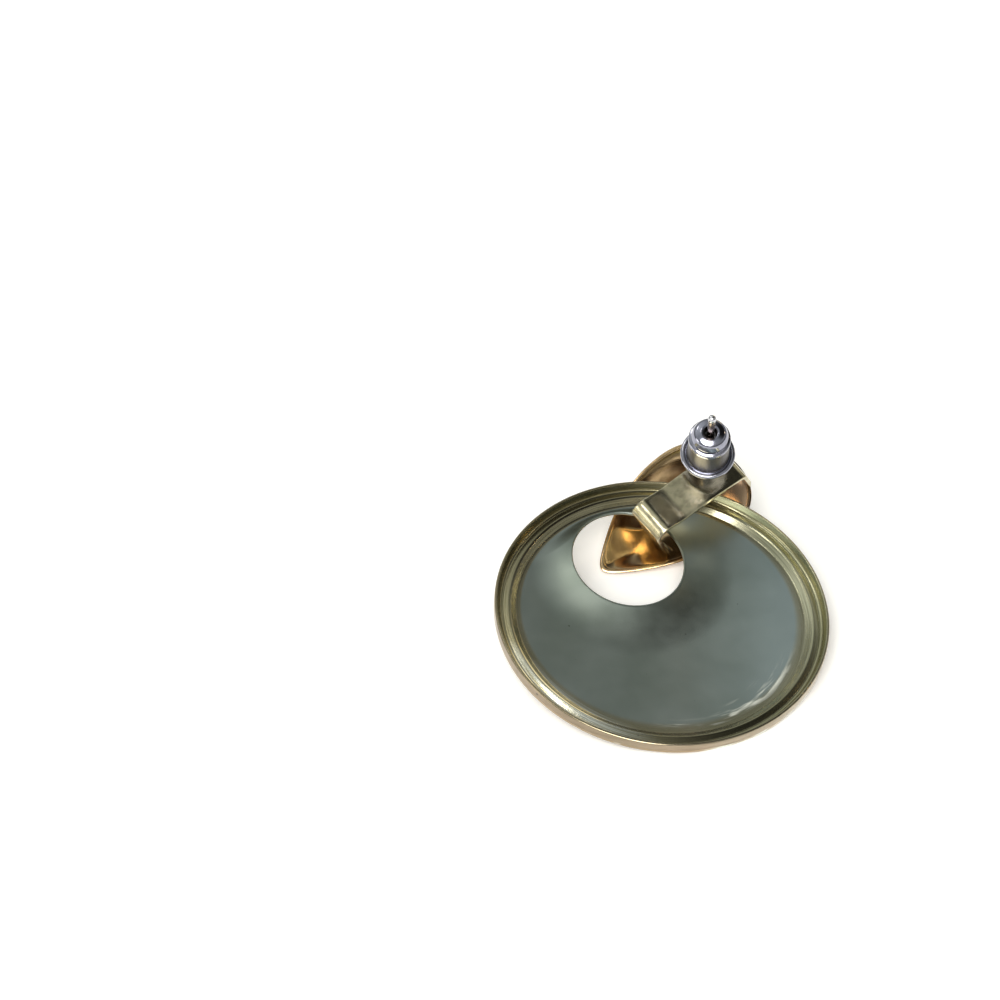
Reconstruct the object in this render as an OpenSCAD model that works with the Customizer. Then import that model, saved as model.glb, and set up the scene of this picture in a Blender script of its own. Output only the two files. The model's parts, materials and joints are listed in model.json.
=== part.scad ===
// Doorknocker earring, lying face down as it rests by itself.
// A stamped round disc with an off-centre hole is trapped in the loop that a flat strap makes
// over a hollow leaf-shaped cap. The post stands on the strap and carries a bullet clutch.
// Millimetres. Z = 0 is the surface it lies on, +X is to the right and +Y is away from the viewer.

/* [Knocker disc] */
// Diameter over the rim
disc_d = 36; // [32:0.5:40]
// Length of the off-centre hole, along the line through the disc's centre
hole_l = 12.9; // [11:0.1:13]
// Width of the hole
hole_w = 12.3; // [11:0.1:13]
// Distance from the centre of the disc to the centre of the hole
hole_offset = 7.65; // [7:0.05:8]
// Depth of the hole's edge where it is nearest to the disc's centre
hole_dip = 0.55; // [0:0.05:0.8]
// Thickness of the sheet
sheet = 0.45; // [0.3:0.05:0.6]
// Depth of the groove inside the rim
groove_depth = 1.15; // [0.8:0.05:1.5]
// Extra depth of the dished floor at its middle
floor_dish = 0.5; // [0:0.05:0.6]
// Width of the funnel that rises to the hole's edge
funnel_w = 6.0; // [3:0.5:8]

/* [Leaf cap] */
// Length of the leaf
leaf_len = 19.9; // [16:0.5:22]
// Width of the leaf
leaf_w = 12.2; // [9:0.5:13]
// Depth of the hollow leaf
leaf_depth = 4.61; // [4.4:0.01:4.8]
// Fullness of the hollow: 1 is round like an egg, 2 is a bowl, more flares at the rim
leaf_flare = 2.6; // [2:0.1:2.8]
// Radius of the leaf's point
leaf_tip_r = 0.6; // [0.3:0.1:1]
// Wall of the leaf
leaf_wall = 0.45; // [0.3:0.05:0.6]
// Distance from the leaf's point to the post
tip_to_post = 15.7; // [14:0.1:17]

/* [Strap and post] */
// Width of the strap
strap_w = 4.4; // [3.5:0.1:5.5]
// Thickness of the strap
strap_t = 0.5; // [0.4:0.05:0.7]
// Distance from the post's axis to the strap's middle line
strap_y = 1.7; // [1.5:0.1:1.9]
// Turn of the strap about the post, seen from above
strap_turn = -1.5; // [-1.5:0.1:0]
// Height of the strap's outer face over the leaf's rim, at the post
strap_h = 5.6; // [5:0.05:7]
// Height of the strap's outer face over the leaf's rim, at the hook
hook_h = 7.9; // [7.5:0.05:8.5]
// Distance from the post to the corner that the hook rounds off
hook_x = 11.2; // [11.1:0.05:11.6]
// Outer radius of the hook
hook_r = 1.4; // [1:0.1:2]
// Distance from the post to the strap's foot in the leaf
foot_x = 8.1; // [8:0.05:8.2]
// Diameter of the post
post_d = 0.8; // [0.7:0.05:0.9]
// Length of the post over the strap
post_len = 12.4; // [10:0.1:13]

/* [Ear nut] */
// Diameter of the flange over its rolled rim
nut_d = 6.0; // [5:0.1:7]
// Diameter of the barrel
barrel_d = 4.5; // [4.2:0.1:4.8]
// Height of the clutch
nut_h = 6.3; // [5.5:0.1:7]
// Diameter of the mouth in the dome
mouth_d = 1.6; // [1.2:0.1:2]
// Gap between the clutch and the strap
nut_gap = 2.1; // [0.2:0.05:2.5]

/* [Rest] */
// Place of the disc's centre, in the plane of its back edge
disc_at = [0.04, -2.72, 4.43];
// Tilt of the disc from level
disc_tilt = 9.2; // [0:0.1:12]
// Direction in which the disc slopes down, from +X
disc_slope = -63.7; // [-90:1:0]
// Direction of the hole from the disc's centre, from +X
hole_turn = 116.6; // [90:1:140]
// Place of the post's axis in the plane of the leaf's rim
ear_at = [5.62, 16.32, 5.98];
// Direction of the leaf's point, from +X
ear_turn = 216.3; // [180:0.1:260]
// Pitch of the leaf, point down
ear_pitch = 18.7; // [0:0.1:30]
// Roll of the leaf about its length, towards the viewer
ear_roll = -21; // [-30:0.1:0]

/* [Hidden] */
$fn = 64;

disc_steps = 90;
leaf_steps = 60;
rim_r = disc_d / 2;
post_r = post_d / 2;

// Back of the rim, from its thin edge to the floor: radius less the rim's, height
rim_back = [[-0.25, 0], [-0.3, -0.1], [-1.0, -groove_depth], [-1.35, -0.85], [-1.85, -0.85],
            [-2.45, -groove_depth - 0.05]];
// Front of the rim, from the floor to its thin edge
rim_front = [[-2.45, -groove_depth - 0.05 - sheet], [-1.85, -0.85 - sheet], [-1.3, -0.9 - sheet],
             [-0.8, -groove_depth - sheet - 0.1], [-0.25, -groove_depth - sheet + 0.1],
             [0, -groove_depth], [0, -0.1]];
floor_r = rim_r + rim_back[5][0];
floor_z = rim_back[5][1];
floor_rings = 13;
hole_at = [hole_offset, 0];

function hole_xy(a) = hole_at + [hole_l / 2 * cos(a), hole_w / 2 * sin(a)];
function hole_h(a) = -0.03 - (hole_dip - 0.03) * (1 - cos(a)) / 2;
// A point of the floor lies on the line between matching points of the floor's edge and the hole
function floor_xy(a, t) = (1 - t) * floor_r * [cos(a), sin(a)]
    + t * hole_xy(a);
function dish(p) = -floor_dish * (1 - (p * p) / (floor_r * floor_r));
function rise(t, a) = let (room = norm(floor_xy(a, 0) - hole_xy(a)), reach = min(funnel_w, room))
    pow(max(0, 1 - norm(floor_xy(a, t) - hole_xy(a)) / reach), 2);
function floor_h(a, t) = let (r = rise(t, a))
    (floor_z + dish(floor_xy(a, t))) * (1 - r) + hole_h(a) * r;
function ring_xyz(a, row) = [(rim_r + row[0]) * cos(a), (rim_r + row[0]) * sin(a), row[1]];
function disc_section(a) = concat(
    [for (row = rim_back) ring_xyz(a, row)],
    [for (k = [1 : floor_rings]) let (t = k / floor_rings, p = floor_xy(a, t)) [p.x, p.y, floor_h(a, t)]],
    [for (k = [floor_rings : -1 : 1]) let (t = k / floor_rings, p = floor_xy(a, t))
        [p.x, p.y, floor_h(a, t) - sheet]],
    [for (row = rim_front) ring_xyz(a, row)]);

module knocker_shell() {
    sections = [for (i = [0 : disc_steps - 1]) disc_section(360 * i / disc_steps)];
    n = len(sections[0]);
    faces = [for (i = [0 : disc_steps - 1], j = [0 : n - 1])
        let (i2 = (i + 1) % disc_steps, j2 = (j + 1) % n)
        each [[i * n + j, i * n + j2, i2 * n + j2], [i * n + j, i2 * n + j2, i2 * n + j]]];
    polyhedron(points = [for (s = sections) each s], faces = faces);
}

// Half-width of the leaf at a distance from its point
widest = 0.663;
function half_w(s, length, width) = let (
        u = s / length,
        point = width / 2 * sin(90 * pow(min(1, u / widest), 0.85)),
        blunt = width / 2 * pow(max(0, 1 - pow(max(0, (u - widest) / (1 - widest)), 2.4)), 1 / 2.4))
    u < widest ? sqrt(point * point + 2 * leaf_tip_r * s * exp(-s / 1.5)) : blunt;
leaf_y = 0.5;
leaf_mid = [tip_to_post - widest * leaf_len, leaf_y];
function leaf_xy(a, inset) = let (
        length = leaf_len - 2.6 * inset,
        s = length * (1 - cos(a)) / 2,
        side = a < 180 ? 1 : -1)
    [tip_to_post - 1.6 * inset - s, leaf_y + side * half_w(s, length, leaf_w - 2 * inset)];
function leaf_ring(q, inset) = [for (i = [0 : leaf_steps - 1])
    let (p = leaf_mid + (leaf_xy(360 * i / leaf_steps, inset) - leaf_mid) * cos(90 * q))
    [p.x, p.y, -(leaf_depth - inset) * pow(sin(90 * q), leaf_flare)]];
leaf_rings = 11;

module leaf_shell() {
    outside = [for (k = [0 : leaf_rings - 1]) leaf_ring(k / leaf_rings, 0)];
    inside = [for (k = [leaf_rings - 1 : -1 : 0]) leaf_ring(k / leaf_rings, leaf_wall)];
    rings = concat(outside, inside);
    n = leaf_steps;
    m = len(rings);
    low = m * n;
    points = concat([for (r = rings) each r],
        [[leaf_mid.x, leaf_mid.y, -leaf_depth], [leaf_mid.x, leaf_mid.y, leaf_wall - leaf_depth]]);
    walls = [for (k = [0 : m - 1], i = [0 : n - 1]) if (k != leaf_rings - 1)
        let (k2 = (k + 1) % m, i2 = (i + 1) % n)
        each [[k * n + i, k2 * n + i2, k2 * n + i], [k * n + i, k * n + i2, k2 * n + i2]]];
    caps = [for (i = [0 : n - 1]) let (i2 = (i + 1) % n, k = leaf_rings - 1)
        each [[k * n + i, k * n + i2, low], [(k + 1) * n + i2, (k + 1) * n + i, low + 1]]];
    polyhedron(points = points, faces = concat(walls, caps));
}

// Strap seen from its side: the corners of its outer face, each with the radius of its bend
top_x = tip_to_post - leaf_len;
strap_path = [[top_x + 0.2, -0.5, 0], [-2.4, strap_h - 0.36, 1.1], [4.8, strap_h + 0.74, 5],
              [hook_x, hook_h, hook_r], [foot_x, -leaf_depth, 0]];
bend_steps = 8;
function unit(v) = v / norm(v);
function left_of(v) = [-v.y, v.x];
// The arc of radius r that rounds corner q between p and s
function bend(p, q, s, r) = let (
        a = unit(p - q),
        b = unit(s - q),
        half = acos(a * b) / 2,
        mid = q + unit(a + b) * r / sin(half),
        first = q + a * r / tan(half) - mid,
        side = sign(cross(first, unit(b - a))),
        sweep = side * (180 - 2 * half))
    [for (k = [0 : bend_steps]) let (t = sweep * k / bend_steps)
        mid + [first.x * cos(t) - first.y * sin(t), first.x * sin(t) + first.y * cos(t)]];
function xy(row) = [row.x, row.y];
outer_face = [for (i = [0 : len(strap_path) - 1]) let (row = strap_path[i])
    each row[2] == 0 ? [xy(row)] : bend(xy(strap_path[i - 1]), xy(row), xy(strap_path[i + 1]), row[2])];
function face_dir(i) = let (n = len(outer_face) - 1)
    unit(unit(outer_face[min(i + 1, n)] - outer_face[max(i, 0) == n ? n - 1 : i])
        + unit(outer_face[max(i, 1)] - outer_face[max(i - 1, 0)]));
inner_face = [for (i = [0 : len(outer_face) - 1]) outer_face[i] - strap_t * left_of(face_dir(i))];

module strap() {
    saddle_r = 4.4;
    saddle_z = saddle_r - 0.68 * leaf_depth;
    intersection() {
        translate([0, strap_y, 0]) rotate([0, 0, strap_turn])
            translate([0, strap_w / 2, 0]) rotate([90, 0, 0]) linear_extrude(strap_w)
                polygon(concat(outer_face, [for (i = [len(inner_face) - 1 : -1 : 0]) inner_face[i]]));
        // The foot's end follows the hollow of the leaf
        union() {
            translate([top_x, leaf_y, saddle_z]) rotate([0, 90, 0])
                cylinder(h = leaf_len, r = saddle_r);
            translate([top_x, leaf_y - saddle_r, saddle_z]) cube([leaf_len, 2 * saddle_r, hook_h]);
        }
        // The other end follows the leaf's rim
        translate([0, 0, -leaf_depth]) linear_extrude(2 * leaf_depth + hook_h)
            polygon([for (i = [0 : leaf_steps - 1]) leaf_xy(360 * i / leaf_steps, 0.1)]);
    }
}

// Round groove near the post's end that the clutch snaps into
notch_z = strap_h + nut_gap + nut_h - 0.3;
notch_w = 0.7;
notch_depth = 0.1;
notch_r = (notch_w * notch_w / 4 + notch_depth * notch_depth) / (2 * notch_depth);
module post() {
    difference() {
        translate([0, 0, strap_h - strap_t / 2])
            cylinder(h = post_len - post_r + strap_t / 2, r = post_r);
        translate([0, 0, notch_z])
            rotate_extrude() translate([post_r - notch_depth + notch_r, 0]) circle(notch_r);
    }
    translate([0, 0, strap_h + post_len - post_r]) sphere(r = post_r);
}

// Half of the clutch's section: flange with rolled rim, barrel, two beads and dome, less its bore
barrel_r = barrel_d / 2;
module nut_section() {
    roll_r = 0.27;
    dome_r = 0.9;
    difference() {
        union() {
            square([nut_d / 2 - roll_r, 0.3]);
            translate([nut_d / 2 - roll_r, roll_r]) circle(roll_r);
            square([barrel_r + 0.1, 0.5]);
            square([barrel_r, 4.05]);
            translate([barrel_r - 0.3, nut_h - 1.9]) circle(0.27);
            square([barrel_r - 0.4, nut_h - 1]);
            translate([barrel_r - 0.53, nut_h - 0.9]) circle(0.27);
            translate([1, nut_h - dome_r]) circle(dome_r);
        }
        translate([-nut_d, -nut_d]) square([nut_d, 3 * nut_d]);
        translate([0, -1]) square([post_r + 0.04, nut_h + 2]);
        translate([0, nut_h - 1.3]) square([mouth_d / 2, 2]);
    }
}

module in_disc() translate(disc_at) rotate([0, 0, disc_slope]) rotate([0, disc_tilt, 0])
    rotate([0, 0, hole_turn - disc_slope]) children();
module in_ear() translate(ear_at) rotate([0, 0, ear_turn]) rotate([0, ear_pitch, 0])
    rotate([ear_roll, 0, 0]) children();

module knocker_disc() color("darkkhaki") in_disc() knocker_shell();
module ear_piece() color("goldenrod") in_ear() {
    leaf_shell();
    strap();
    post();
}
module ear_nut() color("lightslategray") in_ear() translate([0, 0, strap_h + nut_gap])
    rotate_extrude() nut_section();

knocker_disc();
ear_piece();
ear_nut();
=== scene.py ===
"""Looks of a doorknocker earring that lies face down.

A stamped disc lies in the loop of a flat strap over a hollow leaf-shaped cap, and the post on the strap
carries a bullet clutch. Shapes are worked out in millimetres, each in its own piece's frame, and put into the
meshes in metres.
"""

import json
import math

import bpy
import numpy as np
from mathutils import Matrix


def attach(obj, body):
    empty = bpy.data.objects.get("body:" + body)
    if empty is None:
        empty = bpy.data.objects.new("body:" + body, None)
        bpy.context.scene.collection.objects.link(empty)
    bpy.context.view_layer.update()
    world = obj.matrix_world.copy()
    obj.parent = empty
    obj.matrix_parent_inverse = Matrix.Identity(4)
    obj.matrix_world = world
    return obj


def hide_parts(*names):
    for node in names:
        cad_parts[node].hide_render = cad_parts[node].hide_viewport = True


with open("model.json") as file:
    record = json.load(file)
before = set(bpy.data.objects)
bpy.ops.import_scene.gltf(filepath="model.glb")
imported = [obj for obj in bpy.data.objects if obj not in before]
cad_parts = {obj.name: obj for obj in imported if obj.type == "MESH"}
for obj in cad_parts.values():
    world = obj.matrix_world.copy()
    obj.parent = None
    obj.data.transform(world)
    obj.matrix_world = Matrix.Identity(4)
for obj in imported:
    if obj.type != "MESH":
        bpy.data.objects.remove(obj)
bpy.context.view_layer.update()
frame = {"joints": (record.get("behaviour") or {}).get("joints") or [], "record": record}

MM = 0.001

# Camera: the photograph's frame and focal length in pixels, its place in millimetres and its angle downwards
PHOTO_PX = 1000
FOCAL_PX = 2500
CAMERA_AT = (-17.32, -197.41, 187.87)
CAMERA_DOWN = 40.84
SENSOR = 36.0
NEAR_CLIP = 0.01

# Knocker disc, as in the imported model. HOLE_DIP is the depth of the hole's edge nearest to the disc's middle,
# and HOLE_RIM_DIP its depth nearest to the rim.
DISC_R = 18.0
DISC_AT = (0.04, -2.72, 4.43)
DISC_TILT = 9.2
DISC_SLOPE = -63.7
HOLE_TURN = 116.6
HOLE_SIZE = (12.9, 12.3)
HOLE_OFFSET = 7.65
HOLE_DIP = 0.55
HOLE_RIM_DIP = 0.03
SHEET = 0.45
FLOOR_DISH = 0.5
FUNNEL_W = 6.0
FUNNEL_CURVE = 1.8

# Leaf cap, strap, post and clutch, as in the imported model. Heights are over the plane of the leaf's rim, and
# X runs from the post to the leaf's point.
LEAF_LEN = 19.9
LEAF_W = 12.2
LEAF_DEPTH = 4.61
LEAF_FLARE = 2.6
LEAF_TIP_R = 0.6
LEAF_WALL = 0.45
LEAF_Y = 0.5
LEAF_WIDEST = 0.663
TIP_TO_POST = 15.7
STRAP_W = 4.4
STRAP_T = 0.5
STRAP_Y = 1.7
STRAP_TURN = -2.0
STRAP_H = 5.6
HOOK_H = 7.9
HOOK_X = 11.2
HOOK_R = 1.4
FOOT_X = 8.1
POST_R = 0.4
POST_LEN = 12.4
NUT_H = 6.3
NUT_GAP = 2.1
# The post's notch: how far its middle lies under the clutch's top, and half its width
NOTCH_DOWN = 0.3
NOTCH_HALF = 0.35


def turn(axis, degrees):
    """The 3 by 3 matrix that turns a point about the y or z axis."""
    c, s = math.cos(math.radians(degrees)), math.sin(math.radians(degrees))
    rows = {"y": ((c, 0, s), (0, 1, 0), (-s, 0, c)), "z": ((c, -s, 0), (s, c, 0), (0, 0, 1))}
    return np.array(rows[axis])


def ear_frame():
    """The ear piece's axes and origin, from the record. Up is the post mount's axis, and across is the
    hinge's. The mount is the middle of the post's free end, and the origin lies straight down from it."""
    mount = frame["record"]["mounts"][0]
    swing = next(j for j in frame["joints"] if j["name"] == "knocker_swing")
    up, across = np.array(mount["axis"]), np.array(swing["axis"])
    notch_top = STRAP_H + NUT_GAP + NUT_H - NOTCH_DOWN + NOTCH_HALF
    round_end = STRAP_H + POST_LEN - POST_R
    origin = np.array(mount["pos_m"]) / MM - (notch_top + round_end) / 2 * up
    return np.stack([np.cross(across, up), across, up], axis=1), origin


DISC_AXES = turn("z", DISC_SLOPE) @ turn("y", DISC_TILT) @ turn("z", HOLE_TURN - DISC_SLOPE)
EAR_AXES, EAR_AT = ear_frame()


def in_disc(points):
    """Points of the disc's own frame, turned and moved to where the disc lies."""
    return points @ DISC_AXES.T + np.array(DISC_AT)


def in_ear(points):
    """Points of the ear piece's own frame, turned and moved to where it lies."""
    return points @ EAR_AXES.T + EAR_AT


def grid_mesh(name, points, places, wrap_rows=False, first_pole=None, last_pole=None):
    """A piece over a grid of points, rows by columns. The columns close on themselves, and the rows do if
    wrap_rows is set. A pole closes the first or last row with a fan. The UV map holds the share of the turn
    across, and each row's place along, from 0 to 1, where a wrapped grid's last strip ends too."""
    rows, columns = points.shape[:2]
    places = np.append(places, 1.0)
    i = np.arange(rows if wrap_rows else rows - 1)[:, None]
    j = np.arange(columns)[None, :]
    i2, j2 = (i + 1) % rows, (j + 1) % columns
    quads = np.stack([i * columns + j, i * columns + j2, i2 * columns + j2, i2 * columns + j], -1)
    share = np.broadcast_to(j / columns, (len(i), columns))
    share2 = share + 1 / columns
    place = np.broadcast_to(places[: len(i), None], (len(i), columns))
    place2 = np.broadcast_to(places[1 : len(i) + 1, None], (len(i), columns))
    uv = np.stack([share, place, share2, place, share2, place2, share, place2], -1)
    vertices = points.reshape(-1, 3)
    faces, loops = [quads.reshape(-1, 4)], [uv.reshape(-1, 2)]
    for pole, row in ((first_pole, 0), (last_pole, rows - 1)):
        if pole is None:
            continue
        ring = row * columns + np.arange(columns)
        fan = np.stack([ring, np.roll(ring, -1), np.full(columns, len(vertices))], -1)
        faces.append(fan[:, ::-1] if row == 0 else fan)
        vertices = np.vstack([vertices, pole])
        loops.append(np.tile([0.5, places[row]], (3 * columns, 1)))
    mesh = bpy.data.meshes.new(name)
    mesh.from_pydata((vertices * MM).tolist(), [], [f for block in faces for f in block.tolist()])
    layer = mesh.uv_layers.new(name="UVMap")
    layer.data.foreach_set("uv", np.vstack(loops).astype(np.float32).ravel())
    mesh.polygons.foreach_set("use_smooth", np.ones(len(mesh.polygons), bool))
    mesh.update()
    piece = bpy.data.objects.new(name, mesh)
    bpy.context.scene.collection.objects.link(piece)
    return piece


def bent_path(corners, steps=6):
    """A line through corners of (across, height, bend radius). Each bend is an arc that meets both runs:
    its centre lies on the corner's bisector, the radius over the sine of half the corner's angle away."""
    corners = np.array(corners, float)
    line = [corners[:1, :2]]
    for before, here, after in zip(corners[:-2], corners[1:-1], corners[2:]):
        back = (before - here)[:2] / np.linalg.norm((before - here)[:2])
        on = (after - here)[:2] / np.linalg.norm((after - here)[:2])
        half = math.acos(np.clip(back @ on, -1, 1)) / 2
        centre = here[:2] + (back + on) / np.linalg.norm(back + on) * here[2] / math.sin(half)
        start = here[:2] + back * here[2] / math.tan(half) - centre
        side = np.sign(start[0] * (on - back)[1] - start[1] * (on - back)[0])
        t = side * np.linspace(0, math.pi - 2 * half, steps + 1)[:, None]
        line.append(centre + start * np.cos(t) + np.array([-start[1], start[0]]) * np.sin(t))
    line.append(corners[-1:, :2])
    return np.vstack(line)


def carried_round(line, columns):
    """A line of (radius, height), carried round the axis: the radius times the angle's cosine and sine."""
    a = np.linspace(0, 2 * math.pi, columns, endpoint=False)
    r, z = line[:, :1], line[:, 1:]
    return np.stack([r * np.cos(a), r * np.sin(a), z + 0 * a], -1)


# Knocker disc. The columns of both tables are radius less the disc's, height, and bend radius. The first goes
# from the outer edge to the floor's back, and the second from the floor's front to the outer edge.
RIM_BACK = [
    (0.0, -1.0, 0.0),
    (0.0, 0.0, 0.18),
    (-0.3, 0.0, 0.1),
    (-0.68, -1.0, 0.35),
    (-1.02, -0.87, 0.4),
    (-1.58, -0.7, 0.3),
    (-1.82, -0.79, 0.25),
    (-2.4, -1.26, 0.3),
    (-2.6, -1.27, 0.0),
]
RIM_FRONT = [
    (-2.6, -1.72, 0.0),
    (-2.4, -1.71, 0.25),
    (-1.85, -1.3, 0.2),
    (-1.3, -1.35, 0.2),
    (-0.8, -1.7, 0.3),
    (0.0, -1.55, 0.5),
    (0.0, -1.1, 0.0),
]
FLOOR_R = DISC_R + RIM_BACK[-1][0]
FLOOR_Z = RIM_BACK[-1][1]
DISC_COLUMNS = 288
# The floor's rows lie closer together towards the hole
FLOOR_ROWS = 64
FLOOR_SPACING = 0.8
# How far the hole's edge bulges, as a share of a half circle's radius
LIP_ROWS = 6
LIP_BULGE = 0.6
# Places in the UV map where the back of the rim meets the floor, and of the hole's edge
RIM_PLACE = 0.2
HOLE_PLACE = 0.5


def disc_floor(a, t):
    """The dished floor at angle a, a share t of the way from its round edge to the hole's edge, an ellipse
    about its own centre. It is a shallow bowl, and within the funnel's width of the hole it rises to the
    hole's edge."""
    edge = FLOOR_R * np.stack([np.cos(a), np.sin(a)], -1)
    hole = np.stack([HOLE_OFFSET + HOLE_SIZE[0] / 2 * np.cos(a), HOLE_SIZE[1] / 2 * np.sin(a)], -1)
    p = edge + (hole - edge) * t[..., None]
    room = np.linalg.norm(edge - hole, axis=-1)
    rise = np.clip(1 - (1 - t) * room / np.minimum(FUNNEL_W, room), 0, 1) ** FUNNEL_CURVE
    hole_z = -HOLE_RIM_DIP - (HOLE_DIP - HOLE_RIM_DIP) * (1 - np.cos(a)) / 2
    bowl = FLOOR_Z - FLOOR_DISH * (1 - (p**2).sum(-1) / FLOOR_R**2)
    return np.concatenate([p, (bowl * (1 - rise) + hole_z * rise)[..., None]], -1)


def hole_lip(edge):
    """The sheet's edge round the hole: a flattened half circle from its back face to its front face, which
    bulges towards the hole's centre."""
    around = np.linspace(0, math.pi, LIP_ROWS + 2)[1:-1, None]
    inward = np.array([HOLE_OFFSET, 0.0]) - edge[:, :2]
    inward /= np.linalg.norm(inward, axis=-1)[:, None]
    level = edge[:, :2] + inward * (LIP_BULGE * SHEET / 2 * np.sin(around))[..., None]
    height = edge[:, 2] + SHEET / 2 * (np.cos(around) - 1)
    return np.concatenate([level, height[..., None]], -1)


def knocker_shell():
    """The disc as one closed sheet: the back of the rim, the floor to the hole, the hole's round edge, the
    floor's front and the front of the rim, at every angle about the disc's centre."""
    a = np.linspace(0, 2 * math.pi, DISC_COLUMNS, endpoint=False)[None, :]
    t = np.linspace(0, 1, FLOOR_ROWS + 1)[1:, None] ** FLOOR_SPACING
    back = carried_round(bent_path(RIM_BACK, steps=8) + [DISC_R, 0], DISC_COLUMNS)
    front = carried_round(bent_path(RIM_FRONT) + [DISC_R, 0], DISC_COLUMNS)
    top = disc_floor(a + 0 * t, t + 0 * a)
    low = top[::-1] - [0, 0, SHEET]
    points = np.concatenate([back, top, hole_lip(top[-1]), low, front])
    floor_places = RIM_PLACE + (HOLE_PLACE - RIM_PLACE) * t[:, 0]
    places = np.concatenate([
        np.linspace(0, RIM_PLACE, len(back)),
        floor_places,
        np.full(LIP_ROWS, HOLE_PLACE),
        1 - floor_places[::-1],
        np.linspace(1 - RIM_PLACE, 1, len(front)),
    ])
    return grid_mesh("knocker_shell", in_disc(points), places, wrap_rows=True)


# Leaf cap
LEAF_COLUMNS = 192
LEAF_ROWS = 40
LEAF_LIP_ROWS = 7
LEAF_LIP = 0.1
LEAF_LIP_PLACES = (0.45, 0.55)
LEAF_MID = np.array([TIP_TO_POST - LEAF_WIDEST * LEAF_LEN, LEAF_Y])
# The wall is TIP_INSET times as thick along the leaf at its sharp point as elsewhere, and the point's round
# end fades over TIP_REACH. The curves are the powers of the outline's two stretches.
TIP_INSET = 1.6
TIP_REACH = 1.5
POINT_CURVE = 0.85
BACK_CURVE = 2.4
# The rings of the hollow turn from the leaf's outline into an egg towards the bottom. The egg's half-axes run
# towards the point, away from it and across.
EGG = (10.5, 6.3, 5.7)
EGG_FADE = 2.5


def leaf_outline(a, inset=0.0):
    """The leaf's rim at angle a. Its half-width grows as a sine from the point, which a small round end
    blunts, to the widest place, and closes in a superellipse behind it."""
    length, width = LEAF_LEN - (1 + TIP_INSET) * inset, LEAF_W - 2 * inset
    s = length * (1 - np.cos(a)) / 2
    u = s / length
    point = width / 2 * np.sin(math.pi / 2 * np.minimum(1, u / LEAF_WIDEST) ** POINT_CURVE)
    point = np.sqrt(point**2 + 2 * LEAF_TIP_R * s * np.exp(-s / TIP_REACH))
    back = np.clip((u - LEAF_WIDEST) / (1 - LEAF_WIDEST), 0, 1)
    blunt = width / 2 * np.maximum(0, 1 - back**BACK_CURVE) ** (1 / BACK_CURVE)
    half = np.where(u < LEAF_WIDEST, point, blunt)
    return np.stack([TIP_TO_POST - TIP_INSET * inset - s, LEAF_Y + np.sign(math.pi - a) * half], -1)


def leaf_height(share, inset=0.0):
    """Height of the hollow where the outline is drawn in to that share: a bowl that flares at the rim."""
    return -(LEAF_DEPTH - inset) * (1 - share**2) ** (LEAF_FLARE / 2)


def leaf_under(p):
    """Height of the leaf's inner face under points of (x, y), by their share of the way to the rim."""
    a = np.linspace(0.01, 2 * math.pi - 0.01, 720)
    rim = leaf_outline(a, LEAF_WALL) - LEAF_MID
    angle = np.arctan2(rim[:, 1], rim[:, 0])
    order = np.argsort(angle)
    away = p - LEAF_MID
    reach = np.interp(np.arctan2(away[..., 1], away[..., 0]), angle[order],
                      np.linalg.norm(rim, axis=-1)[order])
    return leaf_height(np.clip(np.linalg.norm(away, axis=-1) / reach, 0, 1), LEAF_WALL)


def leaf_face(a, share, inset):
    """One face of the cap: its outline drawn in to each share. The inner face turns into an egg inwards."""
    rim = leaf_outline(a, inset) - LEAF_MID
    egg = rim / np.linalg.norm(rim, axis=-1)[:, None]
    half_axes = np.stack([np.where(egg[:, 0] > 0, EGG[0], EGG[1]), np.full(len(a), EGG[2])], -1)
    egg = egg / np.linalg.norm(egg / half_axes, axis=-1)[:, None]
    keep = 1.0 if inset == 0 else share[:, None, None] ** EGG_FADE
    flat = LEAF_MID + (rim * keep + egg * (1 - keep)) * share[:, None, None]
    z = leaf_height(share, inset) * (1 - LEAF_LIP / LEAF_DEPTH) - LEAF_LIP
    return np.concatenate([flat, np.broadcast_to(z[:, None, None], flat.shape[:2] + (1,))], -1)


def leaf_bowl():
    """The cap as one closed shell: the outer face from its lowest point to the rim, a half-round lip, and the
    inner face back."""
    a = np.linspace(0, 2 * math.pi, LEAF_COLUMNS, endpoint=False)
    share = np.sin(np.linspace(0, math.pi / 2, LEAF_ROWS + 1)[1:])
    bend = np.linspace(0, math.pi, LEAF_LIP_ROWS + 2)[1:-1, None]
    rim = leaf_outline(a, LEAF_WALL * (1 - np.cos(bend)) / 2)
    lip = np.concatenate([rim, (LEAF_LIP * (np.sin(bend) - 1) + 0 * a)[..., None]], -1)
    points = np.concatenate([leaf_face(a, share, 0.0), lip, leaf_face(a, share[::-1], LEAF_WALL)])
    lip_start, lip_end = LEAF_LIP_PLACES
    lip_places = np.linspace(lip_start, lip_end, LEAF_LIP_ROWS + 2)[1:-1]
    places = np.concatenate([lip_start * share, lip_places, 1 - (1 - lip_end) * share[::-1]])
    low = np.array([[LEAF_MID[0], LEAF_MID[1], -LEAF_DEPTH]])
    return grid_mesh("leaf_cap", in_ear(points), places, first_pole=in_ear(low),
                     last_pole=in_ear(low + [0, 0, LEAF_WALL]))


# Strap. The columns are X, height and bend radius of its outer face, from the leaf's rim to the foot.
STRAP_CORNERS = [
    (TIP_TO_POST - LEAF_LEN + 0.2, -0.3, 0.0),
    (-2.4, STRAP_H - 0.4, 1.1),
    (3.0, STRAP_H + 0.7, 6.0),
    (6.6, STRAP_H + 0.8, 4.0),
    (HOOK_X - 0.35, HOOK_H + 0.15, HOOK_R),
    (FOOT_X - 0.1, -LEAF_DEPTH, 0.0),
]
STRAP_STEP = 0.4
STRAP_EDGE_R = 0.1
STRAP_FLAT_POINTS = 11
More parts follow.
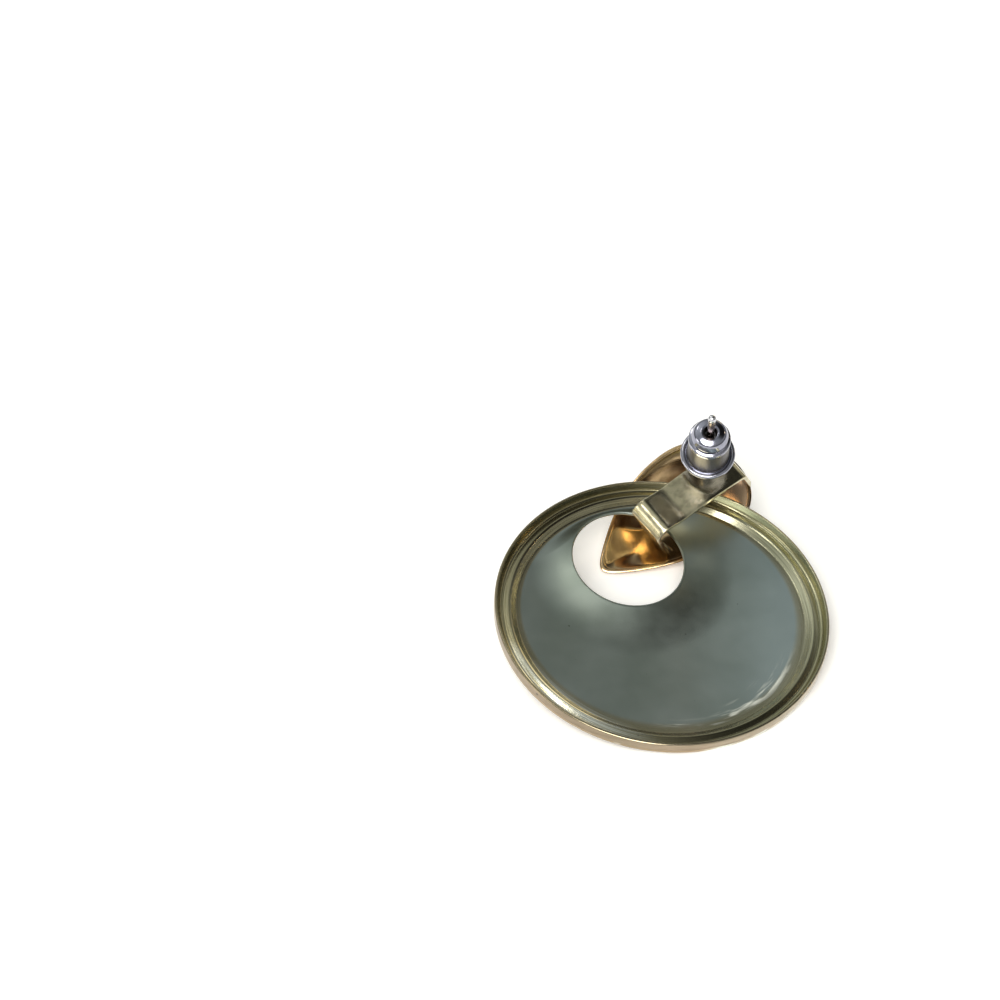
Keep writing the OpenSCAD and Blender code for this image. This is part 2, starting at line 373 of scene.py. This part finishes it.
# The foot is the part of the strap past FOOT_FROM, and it sinks a little into the leaf's inner face
FOOT_FROM = 3.0
FOOT_SINK = 0.2
RIM_SINK = 0.05


def strap_line():
    """The bent line of the strap's outer face, with its long straight runs cut into steps."""
    line = bent_path(STRAP_CORNERS, steps=20)
    runs = np.linalg.norm(np.diff(line, axis=0), axis=1)
    stepped = [line[:1]]
    for start, end, run in zip(line[:-1], line[1:], runs):
        count = max(1, int(run / STRAP_STEP))
        stepped.append(start + (end - start) * np.linspace(0, 1, count + 1)[1:, None])
    return np.vstack(stepped)


def strap_section():
    """The strap's section: a rectangle with rounded corners, as points of (across, depth under its face)."""
    quarter = np.linspace(0, math.pi / 2, 5)
    half, thick = STRAP_W / 2 - STRAP_EDGE_R, STRAP_T - 2 * STRAP_EDGE_R
    arcs = []
    for k, (y, depth) in enumerate(((half, 0), (half, thick), (-half, thick), (-half, 0))):
        t = quarter + (k - 1) * math.pi / 2
        arcs.append(np.stack([y + np.cos(t) * STRAP_EDGE_R, depth + (1 + np.sin(t)) * STRAP_EDGE_R], -1))
    flat = np.linspace(-half, half, STRAP_FLAT_POINTS + 2)[1:-1]
    inner = np.stack([-flat, np.full_like(flat, STRAP_T)], -1)
    outer = np.stack([flat, np.zeros_like(flat)], -1)
    return np.vstack([arcs[0], arcs[1], inner, arcs[2], arcs[3], outer])[::-1]


def trim_to_leaf(points):
    """Draws the strap's points in to the leaf's rim, and lifts the foot's points out of the leaf's wall."""
    a = np.linspace(math.pi / 2, 3 * math.pi / 2, 400)
    rim = leaf_outline(a, RIM_SINK)
    order = np.argsort(rim[:, 1])
    wall_x = np.interp(points[..., 1], rim[order, 1], rim[order, 0])
    points[..., 0] = np.maximum(points[..., 0], wall_x)
    floor = leaf_under(points[..., :2]) - FOOT_SINK
    foot = points[..., 0] > FOOT_FROM
    points[..., 2] = np.where(foot, np.maximum(points[..., 2], floor), points[..., 2])
    return points


def strap_band():
    """The strap: its section carried along its line, square to it. Its foot stops in the leaf's hollow, and
    its other end is drawn in to the leaf's rim."""
    line, section = strap_line(), strap_section()
    tangent = np.gradient(line, axis=0)
    tangent /= np.linalg.norm(tangent, axis=1)[:, None]
    inward = np.stack([tangent[:, 1], -tangent[:, 0]], -1)
    xz = line[:, None, :] + inward[:, None, :] * section[None, :, 1:]
    points = np.stack([xz[..., 0], section[None, :, 0] + 0 * xz[..., 0], xz[..., 1]], -1)
    points = trim_to_leaf(points @ turn("z", STRAP_TURN).T + [0, STRAP_Y, 0])
    ends = [in_ear(points[row].mean(0, keepdims=True)) for row in (0, -1)]
    return grid_mesh("strap", in_ear(points), np.linspace(0, 1, len(line)), first_pole=ends[0],
                     last_pole=ends[1])


# Post. Its round end is TIP_EXTRA_R thicker than the wire over TIP_LEN.
SOLDER_R = 1.0
SOLDER_H = 0.1
NOTCH_DEPTH = 0.1
TIP_LEN = 0.6
TIP_EXTRA_R = 0.04
POST_COLUMNS = 64


def ear_post():
    """The post: a wire with a foot of solder, a notch for the clutch and a round end, a little thicker. The
    columns are radius, height and bend radius of the line that is carried round its axis."""
    top, neck = STRAP_H + POST_LEN, STRAP_H + NUT_GAP + NUT_H - NOTCH_DOWN
    tip_r = POST_R + TIP_EXTRA_R
    line = bent_path([
        (SOLDER_R, STRAP_H - SOLDER_H, 0.0),
        (SOLDER_R - 0.05, STRAP_H + 0.05, 0.05),
        (POST_R, STRAP_H + SOLDER_H, 0.3),
        (POST_R, neck - NOTCH_HALF, 0.2),
        (POST_R - NOTCH_DEPTH, neck, 0.6),
        (POST_R, neck + NOTCH_HALF, 0.2),
        (POST_R, top - TIP_LEN - 0.25, 0.1),
        (tip_r, top - TIP_LEN, 0.2),
        (tip_r, top, POST_R * 0.98),
        (0.01, top, 0.0),
    ], steps=10)
    poles = [in_ear(np.array([[0, 0, height]])) for height in (STRAP_H - SOLDER_H, top)]
    return grid_mesh("ear_post", in_ear(carried_round(line, POST_COLUMNS)), np.linspace(0, 1, len(line)),
                     first_pole=poles[0], last_pole=poles[1])


# Clutch. FLANGE_FLOOR is the height of the flange's dished floor, and FLANGE_BEND rounds its rolled rim.
FLANGE_R = 3.0
FLANGE_H = 0.54
FLANGE_BEND = 0.26
FLANGE_FLOOR = 0.3
BARREL_H = 3.9
BORE_R = POST_R + 0.04
MOUTH_R = 0.75
MOUTH_DEPTH = 1.3
CLUTCH_COLUMNS = 144


def bullet_clutch():
    """The clutch: a flange with a rolled rim, a barrel that narrows a little, two bead rings, a shallow round
    top with the mouth, and its bore. The columns are radius, height over the clutch's foot and bend radius of
    the line that is carried round the post's axis."""
    flange = [
        (BORE_R, 0.0, 0.0),
        (FLANGE_R, 0.0, FLANGE_BEND),
        (FLANGE_R, FLANGE_H, FLANGE_BEND),
        (2.55, FLANGE_H, 0.15),
        (2.48, FLANGE_FLOOR, 0.08),
        (2.38, FLANGE_FLOOR, 0.04),
    ]
    barrel = [
        (2.36, 0.5, 0.08),
        (2.3, 0.55, 0.05),
        (2.2, BARREL_H, 0.1),
    ]
    bead_rings = [
        (2.12, BARREL_H + 0.15, 0.06),
        (2.3, BARREL_H + 0.3, 0.1),
        (2.28, BARREL_H + 0.75, 0.2),
        (1.94, BARREL_H + 0.86, 0.06),
        (2.0, BARREL_H + 1.45, 0.5),
    ]
    round_top = [
        (1.72, NUT_H - 0.2, 0.6),
        (1.0, NUT_H, 0.35),
    ]
    mouth = [
        (MOUTH_R + 0.02, NUT_H - 0.02, 0.06),
        (MOUTH_R, NUT_H - 0.1, 0.04),
        (MOUTH_R, NUT_H - MOUTH_DEPTH, 0.05),
        (BORE_R, NUT_H - MOUTH_DEPTH - 0.05, 0.05),
        (BORE_R, 0.03, 0.0),
    ]
    line = bent_path(flange + barrel + bead_rings + round_top + mouth, steps=9)
    points = carried_round(line + [0, STRAP_H + NUT_GAP], CLUTCH_COLUMNS)
    return grid_mesh("clutch", in_ear(points), np.linspace(0, 1, len(line)), wrap_rows=True)


# Materials. Object coordinates are in metres, so that the scale of a noise on them is its number of patterns
# in a metre. UV coordinates run across and along as grid_mesh says.
def colour(code):
    """A linear colour with alpha from an sRGB hex code."""
    parts = [int(code[k:k + 2], 16) / 255 for k in (0, 2, 4)]
    return [p / 12.92 if p <= 0.04045 else ((p + 0.055) / 1.055) ** 2.4 for p in parts] + [1.0]


def direction(azimuth, elevation):
    """The unit vector towards a place in the room: azimuth 0 is straight behind the earring, 90 is right."""
    a, e = math.radians(azimuth), math.radians(elevation)
    return (math.sin(a) * math.cos(e), math.cos(a) * math.cos(e), math.sin(e))


def new_material(name):
    """An empty material and its node tree."""
    material = bpy.data.materials.new(name)
    material.use_nodes = True
    material.node_tree.nodes.clear()
    return material, material.node_tree


def add(tree, kind, inputs=(), stops=(), **settings):
    """Adds one shader node with its settings, and with stops of (place, hex colour) on a colour ramp. The
    inputs go by name, or in the order in which the node shows them. Each is a value, a hex colour, an output
    that is linked to it, or a node, whose first output in use is linked."""
    made = tree.nodes.new("ShaderNode" + kind)
    for name, value in settings.items():
        setattr(made, name, value)
    if isinstance(inputs, dict):
        pairs = [(made.inputs[name], value) for name, value in inputs.items()]
    else:
        pairs = zip([socket for socket in made.inputs if socket.enabled], inputs)
    for socket, value in pairs:
        if isinstance(value, bpy.types.Node):
            value = next(output for output in value.outputs if output.enabled)
        if isinstance(value, bpy.types.NodeSocket):
            tree.links.new(value, socket)
        else:
            socket.default_value = colour(value) if isinstance(value, str) else value
    if stops:
        band = made.color_ramp.elements
        while len(band) < len(stops):
            band.new(0.5)
        for element, (place, code) in zip(band, stops):
            element.position = place
            element.color = colour(code)
    return made


def stamped_brass():
    """Thin stamped brass under a dull flash of plate: slate grey-green and matte on the dished back, glossy
    olive gold with fine turned lines on the rolled rim, and pinkish gold on the outer wall and the front."""
    material, tree = new_material("stamped_brass_dull_plate")
    coords = add(tree, "TexCoord")
    place = coords.outputs["Object"]
    section = add(tree, "SeparateXYZ", [coords.outputs["UV"]]).outputs["Y"]
    centred = add(tree, "SeparateXYZ", [
        add(tree, "Mapping", {"Vector": place, "Location": [-c * MM for c in DISC_AT]}),
    ])
    x, y = centred.outputs["X"], centred.outputs["Y"]
    level = add(tree, "CombineXYZ", [x, y])
    radius = add(tree, "VectorMath", [level], operation="LENGTH")
    front_right, front, front_left = (
        add(tree, "VectorMath", [level, direction(azimuth, 0)], operation="DOT_PRODUCT")
        for azimuth in (133, 172, -142)
    )

    def round_disc(along, across):
        """Coordinates of lines round the disc, by the number of patterns in a metre along and across them."""
        return add(tree, "CombineXYZ", [
            add(tree, "Math", [source, count], operation="MULTIPLY")
            for source, count in ((x, along), (y, along), (radius, across))
        ])

    # The turned lines are drawn coarser than real ones, so that they show. Pits are the peaks of a pattern.
    lines = add(tree, "TexNoise", [round_disc(130.0, 11000.0), 1.0, 4.0, 0.65])
    streak_pattern = add(tree, "TexNoise", [round_disc(160.0, 1500.0), 1.0, 3.0, 0.6])
    grain = add(tree, "TexNoise", [place, 2500.0, 3.0, 0.6])
    patches = add(tree, "TexNoise", [place, 420.0, 4.0, 0.6])
    clouds = add(tree, "TexNoise", [place, 110.0, 3.0, 0.5])
    specks = add(tree, "TexNoise", [place, 1400.0, 1.0, 0.6])
    rim = add(tree, "MapRange", [section, RIM_PLACE, RIM_PLACE + 0.015, 1.0, 0.0])

    # Colours along the section, clouded with wear, cooler and lighter towards the right, and lined on the rim
    base = add(tree, "ValToRGB", [section], [
        (0.0, "c8b4a2"), (0.03, "ccc0a6"), (0.06, "ccc2a0"), (0.17, "c6bfa6"), (0.2, "b6ae96"),
        (0.212, "b0ac9c"), (0.222, "b2bcbe"), (0.5, "b2bcba"), (0.52, "c8b090"), (1.0, "cfb79c"),
    ])
    cloudy = add(tree, "MapRange", [clouds, 0.35, 0.65, 0.0, 1.0])
    to_right = add(tree, "MapRange", [x, 2 * MM, 12 * MM, 0.0, 1.0])
    lined = add(tree, "MapRange", [lines, 0.42, 0.66, 0.0, 0.7])
    lined = add(tree, "Math", [lined, rim], operation="MULTIPLY")
    for share, first, second in (
        (cloudy, "e6e8e4", "ffffff"), (to_right, "dcdcd6", "f8ffff"), (lined, "ffffff", "b8b5a8"),
    ):
        tint = add(tree, "Mix", [share, first, second], data_type="RGBA")
        base = add(tree, "Mix", [1.0, base, tint], data_type="RGBA", blend_type="MULTIPLY")

    # Painted highlights: matte streaks on the back in two places near its front edge, and a glossy stretch of
    # rim at the left, painted near white
    right_place = add(tree, "MapRange", [front_right, 11.8 * MM, 13.2 * MM, 0.0, 1.0])
    front_place = add(tree, "MapRange", [front, 13.2 * MM, 14.6 * MM, 0.0, 0.7])
    highlight_streaks = add(tree, "MapRange", [streak_pattern, 0.53, 0.62, 0.0, 1.0])
    for mask in (
        add(tree, "Math", [right_place, front_place], operation="MAXIMUM"),
        add(tree, "MapRange", [radius, 11.5 * MM, 14 * MM, 0.0, 1.0]),
        add(tree, "MapRange", [y, -3 * MM, -8 * MM, 0.0, 1.0]),
        add(tree, "MapRange", [rim, 0.0, 1.0, 1.0, 0.0]),
    ):
        highlight_streaks = add(tree, "Math", [highlight_streaks, mask], operation="MULTIPLY")
    # The rim's glossy stretch at the left, which also carries a painted highlight
    polished = rim
    for mask in (
        add(tree, "MapRange", [front_left, 13.5 * MM, 16.5 * MM, 0.0, 1.0]),
        add(tree, "MapRange", [section, 0.03, 0.06, 0.0, 1.0]),
        add(tree, "MapRange", [lines, 0.4, 0.55, 0.0, 1.0]),
    ):
        polished = add(tree, "Math", [polished, mask], operation="MULTIPLY")
    bright = add(tree, "Math", [highlight_streaks, polished], operation="MAXIMUM")
    pits = add(tree, "MapRange", [specks, 0.78, 0.82, 0.0, 0.8])
    # Painted highlight: the streaks and the rim's glossy stretch are painted near white
    base = add(tree, "Mix", [bright, base, "e6e9e2"], data_type="RGBA")
    base = add(tree, "Mix", [pits, base, "4a4a44"], data_type="RGBA")

    dull = add(tree, "MapRange", [patches, 0.3, 0.7, 0.33, 0.39])
    glossy = add(tree, "MapRange", [lines, 0.35, 0.65, 0.17, 0.26])
    dull = add(tree, "Mix", [highlight_streaks, dull, 0.7], data_type="FLOAT")
    glossy = add(tree, "Mix", [polished, glossy, 0.12], data_type="FLOAT")
    rough = add(tree, "Mix", [rim, dull, glossy], data_type="FLOAT")
    grained = add(tree, "Bump", {"Strength": 0.12, "Distance": 0.04 * MM, "Height": grain})
    depth = add(tree, "Math", [rim, 0.2], operation="MULTIPLY")
    cut = add(tree, "Bump", {"Strength": depth, "Distance": 0.02 * MM, "Height": lines, "Normal": grained})
    metal = add(tree, "BsdfPrincipled", {
        "Metallic": 1.0, "Base Color": base, "Roughness": rough, "Normal": cut,
    })
    add(tree, "OutputMaterial", {"Surface": metal})
    return material


def bright_gold_plate():
    """Bright gold plate over thin pressed brass: warm, nearly a mirror, a little dented by the press, and
    clouded brown where it has tarnished."""
    material, tree = new_material("bright_gold_plate")
    place = add(tree, "TexCoord").outputs["Object"]
    haze = add(tree, "TexNoise", [place, 350.0, 4.0, 0.6])
    dents = add(tree, "TexNoise", [place, 450.0, 1.0, 0.4])
    hazy = add(tree, "MapRange", [haze, 0.4, 0.68, 0.0, 0.6])
    base = add(tree, "Mix", [hazy, "e2c496", "987c68"], data_type="RGBA")
    # Browner in the lobe that lies away from the point and to the left of the post
    lobe = EAR_AXES @ (-0.5, 0.87, 0.0)
    middle = float(EAR_AT @ lobe)
    across = add(tree, "VectorMath", [place, lobe], operation="DOT_PRODUCT")
    lobe_brown = add(tree, "MapRange", [across, (middle - 1.0) * MM, (middle + 3.5) * MM, 0.0, 0.7])
    base = add(tree, "Mix", [lobe_brown, base, "84695c"], data_type="RGBA")
    rough = add(tree, "MapRange", [haze, 0.3, 0.7, 0.12, 0.22])
    bump = add(tree, "Bump", {"Strength": 0.4, "Distance": 0.15 * MM, "Height": dents})
    metal = add(tree, "BsdfPrincipled", {
        "Metallic": 1.0, "Base Color": base, "Roughness": rough, "Normal": bump,
    })
    add(tree, "OutputMaterial", {"Surface": metal})
    return material


def satin_strip_brass():
    """Rolled brass strip, polished and handled: pale yellow, with faint lines along the strip and slight
    waves from bending."""
    material, tree = new_material("satin_strip_brass")
    coords = add(tree, "TexCoord")
    place = coords.outputs["Object"]
    # 90 lines in the turn of the section lie about 0.16 mm apart on the faces, and change three times along
    # the strip. Real rolling lines are finer, and wouldn't show.
    along = add(tree, "Mapping", {"Vector": coords.outputs["UV"], "Scale": (90.0, 3.0, 1.0)})
    lines = add(tree, "TexNoise", [along, 1.0, 3.0, 0.7])
    waves = add(tree, "TexNoise", [place, 300.0, 1.0, 0.4])
    spots = add(tree, "TexNoise", [place, 900.0, 4.0, 0.65])
    spotted = add(tree, "MapRange", [spots, 0.45, 0.7, 0.0, 0.7])
    base = add(tree, "Mix", [spotted, "d0c8a8", "948c74"], data_type="RGBA")
    rough = add(tree, "MapRange", [lines, 0.3, 0.7, 0.17, 0.23])
    bump = add(tree, "Bump", {"Strength": 0.6, "Distance": 0.15 * MM, "Height": waves})
    metal = add(tree, "BsdfPrincipled", {
        "Metallic": 1.0, "Base Color": base, "Roughness": rough, "Normal": bump,
    })
    add(tree, "OutputMaterial", {"Surface": metal})
    return material


def polished_steel():
    """Pressed and polished steel: nearly a mirror, with a blue-grey cast and slight dents, and duller on the
    barrel. Painted shade makes the barrel darker and browner, and the bore dark."""
    material, tree = new_material("polished_clutch_steel")
    coords = add(tree, "TexCoord")
    place = coords.outputs["Object"]
    section = add(tree, "SeparateXYZ", [coords.outputs["UV"]]).outputs["Y"]
    haze = add(tree, "TexNoise", [place, 900.0, 4.0, 0.6])
    dents = add(tree, "TexNoise", [place, 500.0, 1.0, 0.4])
    # Colours along the section: blue-grey steel, with painted shade that is darker and browner on the barrel
    # and dark in the mouth and bore
    tone_and_shade = add(tree, "ValToRGB", [section], [
        (0.0, "a9aab8"), (0.26, "a9aab8"), (0.3, "6a6764"), (0.4, "6a6764"), (0.45, "9a9a9e"),
        (0.55, "a0a1b0"), (0.8, "9c9dad"), (0.9, "4c4a4c"), (1.0, "4c4a4c"),
    ])
    hazy = add(tree, "MapRange", [haze, 0.45, 0.7, 0.0, 0.5])
    base = add(tree, "Mix", [hazy, tone_and_shade, "77747a"], data_type="RGBA")
    starts = add(tree, "MapRange", [section, 0.34, 0.36, 0.0, 1.0])
    ends = add(tree, "MapRange", [section, 0.38, 0.4, 1.0, 0.0])
    barrel = add(tree, "Math", [starts, ends], operation="MULTIPLY")
    smooth = add(tree, "MapRange", [haze, 0.3, 0.7, 0.1, 0.2])
    rough = add(tree, "Mix", [barrel, smooth, 0.45], data_type="FLOAT")
    bump = add(tree, "Bump", {"Strength": 0.3, "Distance": 0.1 * MM, "Height": dents})
    metal = add(tree, "BsdfPrincipled", {
        "Metallic": 1.0, "Base Color": base, "Roughness": rough, "Normal": bump,
    })
    add(tree, "OutputMaterial", {"Surface": metal})
    return material


def worn_gold_wire():
    """Drawn wire: worn brownish gold on its length, and bright like silver at its rounded end, partly from wear
    and partly as a painted highlight.
    """
    material, tree = new_material("worn_gold_wire")
    coords = add(tree, "TexCoord")
    length = add(tree, "SeparateXYZ", [coords.outputs["UV"]]).outputs["Y"]
    haze = add(tree, "TexNoise", [coords.outputs["Object"], 1500.0, 3.0, 0.6])
    # The round end's pale colour is partly worn plate and partly a painted highlight
    base = add(tree, "ValToRGB", [length], [
        (0.0, "8e7f74"), (0.8, "94857a"), (0.86, "c6c6cc"), (1.0, "d6d6de"),
    ])
    rough = add(tree, "MapRange", [haze, 0.3, 0.7, 0.14, 0.26])
    metal = add(tree, "BsdfPrincipled", {"Metallic": 1.0, "Base Color": base, "Roughness": rough})
    add(tree, "OutputMaterial", {"Surface": metal})
    return material


def dress(piece, material, body, node=None):
    """Gives a piece its material and slot, puts it on its body, and lets it stand for a node."""
    piece.data.materials.append(material)
    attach(piece, body)
    if node:
        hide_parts(node)


# Floor, light and camera. FLOOR_HALF is in metres.
FLOOR_HALF = 1.5
SKY_STRENGTH = 1.6
# Each shade multiplies the sky. It has an azimuth, an elevation, and stops by the cosine of the angle from
# there: 1 is there, and 0 is square to it or further. The sky is brightest high at the left, dark high at
# the right, and dimmer near the horizon.
SKY_SHADES = [
    (-62, 50, [(0.0, "8e8f8b"), (0.5, "8e918f"), (0.86, "90938f"), (0.97, "bcbfba"), (1.0, "c4c7c0")]),
    (78, 60, [(0.0, "ffffff"), (0.86, "ffffff"), (0.93, "808080"), (0.97, "343434"), (1.0, "2c2c2c")]),
    (0, 90, [(0.0, "949494"), (0.15, "a8a8a8"), (0.42, "ffffff"), (1.0, "ffffff")]),
]
# Name, azimuth, elevation, distance and width in metres, power in watts, and tint
LAMPS = [
    ("front_panel", 195, 46, 1.0, 0.6, 9.5, "fffdf8"),
    ("window_left", -110, 16, 0.6, 0.22, 0.45, "fffbf0"),
    ("window_high", -60, 57, 0.9, 0.14, 0.32, "fffaf0"),
    ("window_top", -82, 75, 0.9, 0.12, 0.3, "fffaf0"),
    ("wall_glow", 28, 24, 0.9, 0.3, 0.38, "ffe4a8"),
    ("ceiling_lamp", 80, 42, 0.9, 0.05, 0.1, "ffe2b0"),
]


def pale_floor():
    """A plain white matte floor that the earring lies on. It glows a little, so that it stays white where the
    lamps light it less."""
    material, tree = new_material("white_table")
    matte = add(tree, "BsdfPrincipled", {
        "Base Color": "ffffff", "Roughness": 1.0, "Emission Color": "ffffff", "Emission Strength": 0.15,
    })
    add(tree, "OutputMaterial", {"Surface": matte})
    corners = [(x * FLOOR_HALF, y * FLOOR_HALF, 0) for x, y in ((-1, -1), (1, -1), (1, 1), (-1, 1))]
    mesh = bpy.data.meshes.new("floor")
    mesh.from_pydata(corners, [], [(0, 1, 2, 3)])
    mesh.materials.append(material)
    floor = bpy.data.objects.new("floor", mesh)
    bpy.context.scene.collection.objects.link(floor)


def lamp(name, azimuth, elevation, distance, width, power, tint):
    """A soft square lamp in a direction from the earring, turned towards it."""
    light = bpy.data.lights.new(name, "AREA")
    light.size = width
    light.energy = power
    light.color = colour(tint)[:3]
    holder = bpy.data.objects.new(name, light)
    holder.location = [part * distance for part in direction(azimuth, elevation)]
    holder.rotation_euler = (math.radians(90 - elevation), 0, math.radians(180 - azimuth))
    bpy.context.scene.collection.objects.link(holder)


def soft_studio():
    """A plain room: a soft sky in three shades, a broad panel in front and above that lights the table, three
    soft windows at the left, a low warm glow behind, and a small warm lamp at the right."""
    world = bpy.data.worlds.new("room")
    world.use_nodes = True
    tree = world.node_tree
    tree.nodes.clear()
    place = add(tree, "TexCoord").outputs["Generated"]
    sky = "ffffff"
    for azimuth, elevation, stops in SKY_SHADES:
        facing = add(tree, "VectorMath", [place, direction(azimuth, elevation)], operation="DOT_PRODUCT")
        shade = add(tree, "ValToRGB", [facing], stops)
        sky = add(tree, "Mix", [1.0, sky, shade], data_type="RGBA", blend_type="MULTIPLY")
    light = add(tree, "Background", {"Color": sky, "Strength": SKY_STRENGTH})
    add(tree, "OutputWorld", {"Surface": light})
    bpy.context.scene.world = world
    for row in LAMPS:
        lamp(*row)


def photo_camera():
    """The photograph's view: level, looking down at the earring from the front."""
    lens = bpy.data.cameras.new("photo_camera")
    lens.sensor_width = SENSOR
    lens.lens = FOCAL_PX / PHOTO_PX * SENSOR
    lens.clip_start = NEAR_CLIP
    camera = bpy.data.objects.new("photo_camera", lens)
    camera.location = [c * MM for c in CAMERA_AT]
    camera.rotation_euler = (math.radians(90 - CAMERA_DOWN), 0, 0)
    bpy.context.scene.collection.objects.link(camera)
    bpy.context.scene.camera = camera


photo_camera()
soft_studio()
pale_floor()
dress(knocker_shell(), stamped_brass(), "knocker", "knocker_disc")
dress(leaf_bowl(), bright_gold_plate(), "ear_piece", "ear_piece")
dress(strap_band(), satin_strip_brass(), "ear_piece")
dress(ear_post(), worn_gold_wire(), "ear_piece")
dress(bullet_clutch(), polished_steel(), "clutch", "ear_nut")
bpy.context.scene.view_settings.view_transform = "Standard"
